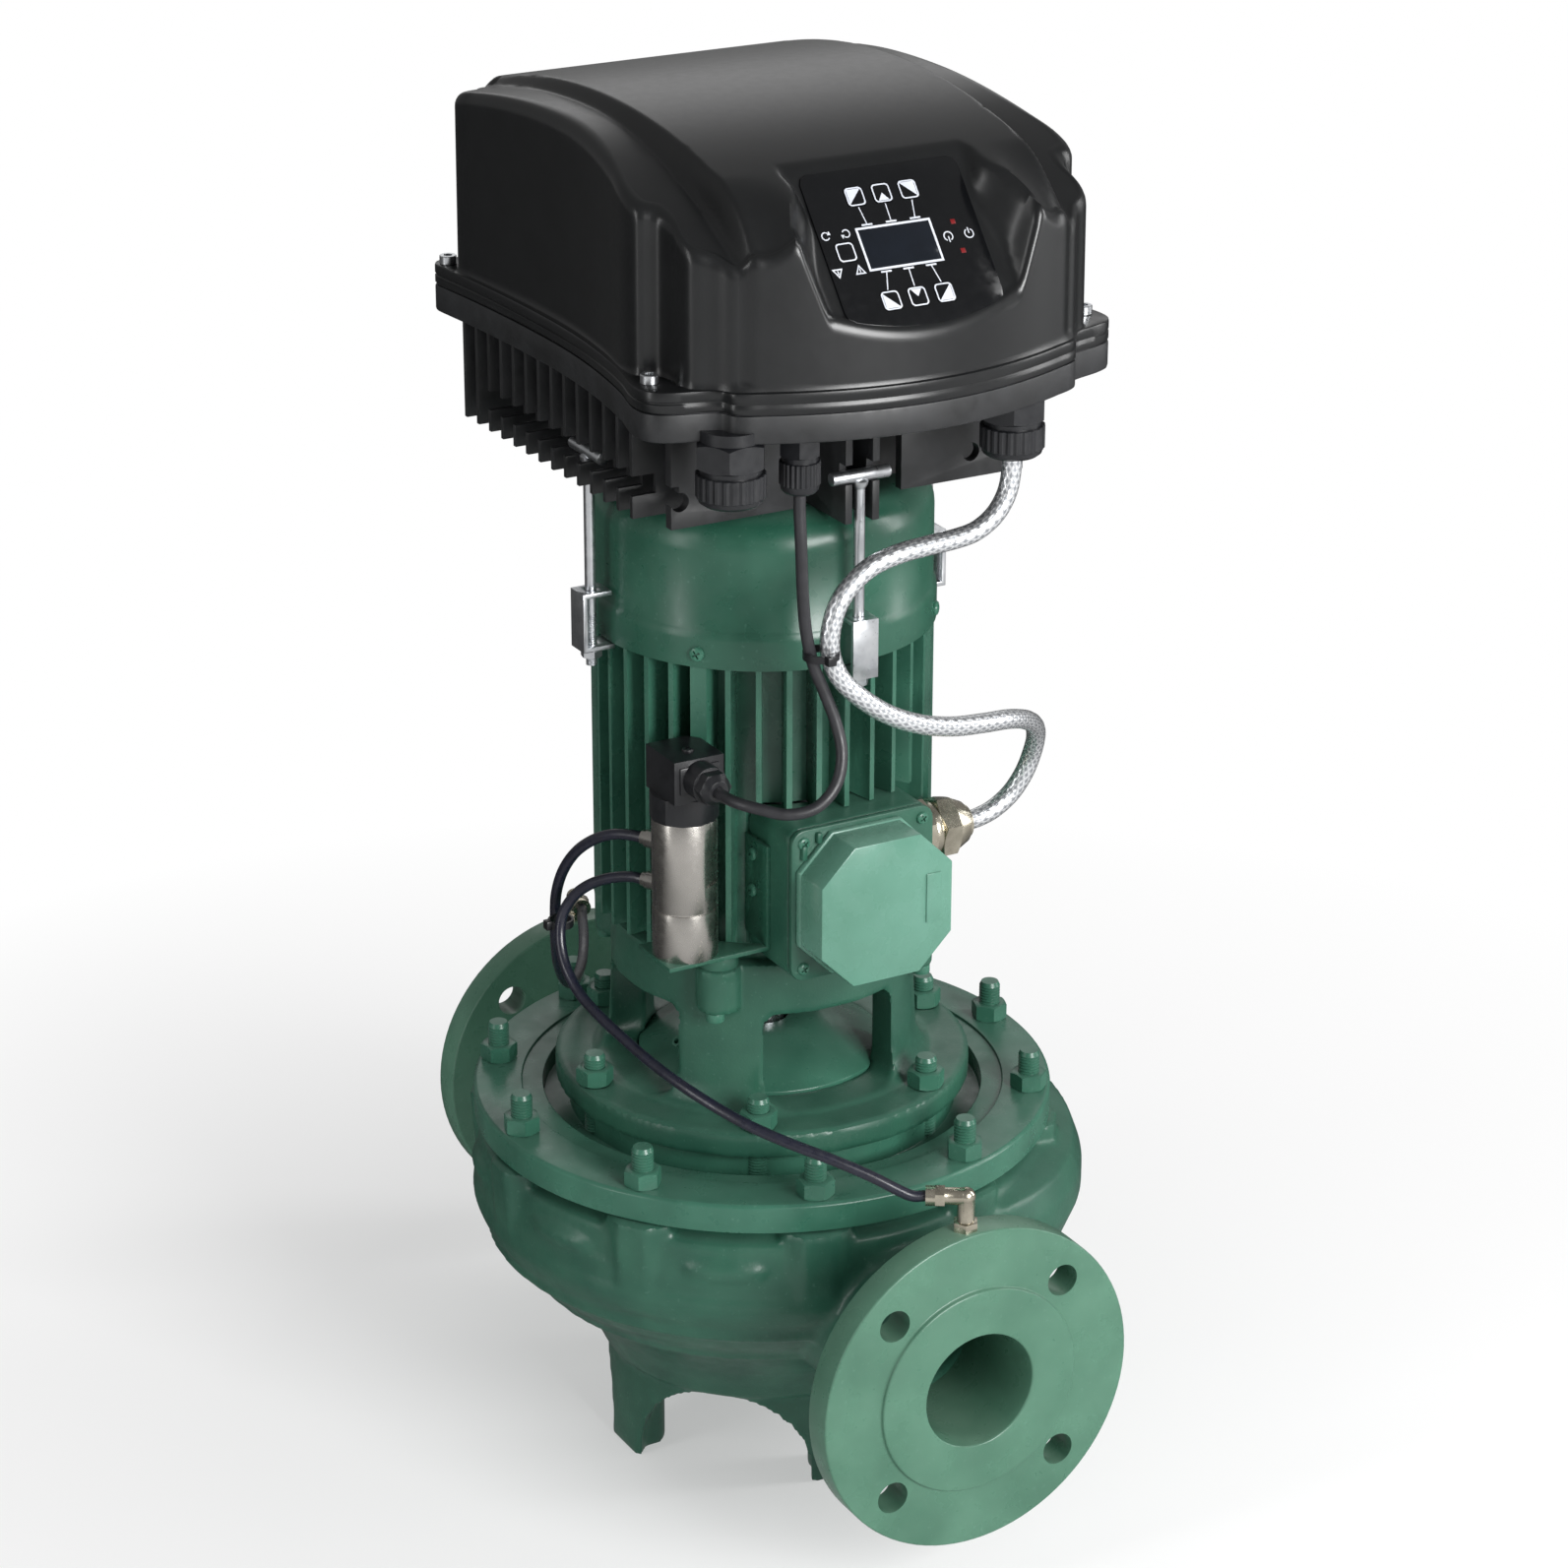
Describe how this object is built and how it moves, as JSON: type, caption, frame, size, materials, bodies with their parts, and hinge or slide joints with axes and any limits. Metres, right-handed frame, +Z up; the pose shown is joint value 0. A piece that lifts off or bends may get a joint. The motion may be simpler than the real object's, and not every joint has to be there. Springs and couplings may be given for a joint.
{
  "type": "in-line circulation pump",
  "caption": "In-line circulation pump: flanged cast casing on a hollow foot, upright finned motor on an open lantern, and a frequency inverter with a sloping display on top.",
  "frame": {"origin": "centre of the foot on the floor, under the shaft", "axes": "+Z up along the shaft, -Y towards the inlet flange, +X to the right seen from the display"},
  "size_m": [0.3473, 0.475, 0.782],
  "materials": {
    "cast_paint": "satin green enamel over a cast skin",
    "sheet_paint": "satin green enamel over pressed sheet",
    "bronze": "machined bronze",
    "gasket_fibre": "pressed fibre",
    "seal_carbon": "carbon and ceramic seal faces",
    "machined_steel": "ground steel",
    "core_steel": "laminated sheet steel",
    "copper_winding": "varnished copper",
    "zinc_plate": "bright zinc plating",
    "nickel_brass": "nickel-plated brass",
    "stainless": "turned stainless steel",
    "black_casting": "black painted die casting",
    "black_plastic": "satin black moulding",
    "overlay": "printed polyester foil",
    "screen_glass": "dark display window",
    "key_face": "embossed foil key",
    "circuit_board": "lacquered board",
    "black_rubber": "smooth black jacket",
    "braid": "tinned braid under a clear sheath"
  },
  "bodies": {
    "frame": {"volute_casing": "cast_paint", "wear_ring": "bronze", "casing_gasket": "gasket_fibre", "casing_cover": "cast_paint", "flange_studs": "cast_paint", "flange_nuts": "cast_paint", "seal_seat": "seal_carbon", "lantern": "cast_paint", "lantern_screws": "zinc_plate", "vent_fitting": "cast_paint", "bearing_outer_races": "machined_steel", "bearing_balls": "machined_steel", "drive_end_shield": "cast_paint", "motor_housing": "cast_paint", "stator_core": "core_steel", "stator_windings": "copper_winding", "fan_end_shield": "cast_paint", "fan_cowl": "sheet_paint", "motor_screws": "zinc_plate", "terminal_box": "cast_paint", "terminal_cover": "sheet_paint", "terminal_board": "black_plastic", "motor_gland": "nickel_brass", "heat_sink": "black_casting", "inverter_gasket": "black_rubber", "inverter_cover": "black_plastic", "cover_screws": "zinc_plate", "display_panel": "overlay", "display_screen": "screen_glass", "control_board": "circuit_board", "power_gland": "black_plastic", "signal_gland": "black_plastic", "spare_gland": "black_plastic", "tie_rods": "zinc_plate", "clamp_hooks": "zinc_plate", "clamp_nuts": "zinc_plate", "sensor_body": "stainless", "sensor_connector": "black_plastic", "sensor_bracket": "sheet_paint", "front_elbow": "nickel_brass", "rear_elbow": "nickel_brass", "front_hose": "black_rubber", "rear_hose": "black_rubber", "signal_cable": "black_rubber", "power_cable": "braid", "cable_ties": "black_rubber"},
    "rotor": {"motor_shaft": "machined_steel", "bearing_inner_races": "machined_steel", "rotor_core": "core_steel", "cooling_fan": "black_plastic", "impeller": "bronze", "impeller_nut": "zinc_plate", "seal_head": "seal_carbon"},
    "key_1_cap": {"key_1": "key_face"},
    "key_2_cap": {"key_2": "key_face"},
    "key_3_cap": {"key_3": "key_face"},
    "key_4_cap": {"key_4": "key_face"},
    "key_5_cap": {"key_5": "key_face"},
    "key_6_cap": {"key_6": "key_face"},
    "key_7_cap": {"key_7": "key_face"}
  },
  "joints": [
    {"name": "rotor_spin", "type": "hinge", "parent": "frame", "child": "rotor", "pos_m": [0, 0, 0.3], "axis": [0, 0, 1], "continuous": true},
    {"name": "key_1_press", "type": "slide", "parent": "frame", "child": "key_1_cap", "axis": [0, 0.766, -0.6428], "range_m": [0, 0.0005], "stiffness_N_per_m": 2000},
    {"name": "key_2_press", "type": "slide", "parent": "frame", "child": "key_2_cap", "axis": [0, 0.766, -0.6428], "range_m": [0, 0.0005], "stiffness_N_per_m": 2000},
    {"name": "key_3_press", "type": "slide", "parent": "frame", "child": "key_3_cap", "axis": [0, 0.766, -0.6428], "range_m": [0, 0.0005], "stiffness_N_per_m": 2000},
    {"name": "key_4_press", "type": "slide", "parent": "frame", "child": "key_4_cap", "axis": [0, 0.766, -0.6428], "range_m": [0, 0.0005], "stiffness_N_per_m": 2000},
    {"name": "key_5_press", "type": "slide", "parent": "frame", "child": "key_5_cap", "axis": [0, 0.766, -0.6428], "range_m": [0, 0.0005], "stiffness_N_per_m": 2000},
    {"name": "key_6_press", "type": "slide", "parent": "frame", "child": "key_6_cap", "axis": [0, 0.766, -0.6428], "range_m": [0, 0.0005], "stiffness_N_per_m": 2000},
    {"name": "key_7_press", "type": "slide", "parent": "frame", "child": "key_7_cap", "axis": [0, 0.766, -0.6428], "range_m": [0, 0.0005], "stiffness_N_per_m": 2000}
  ]
}
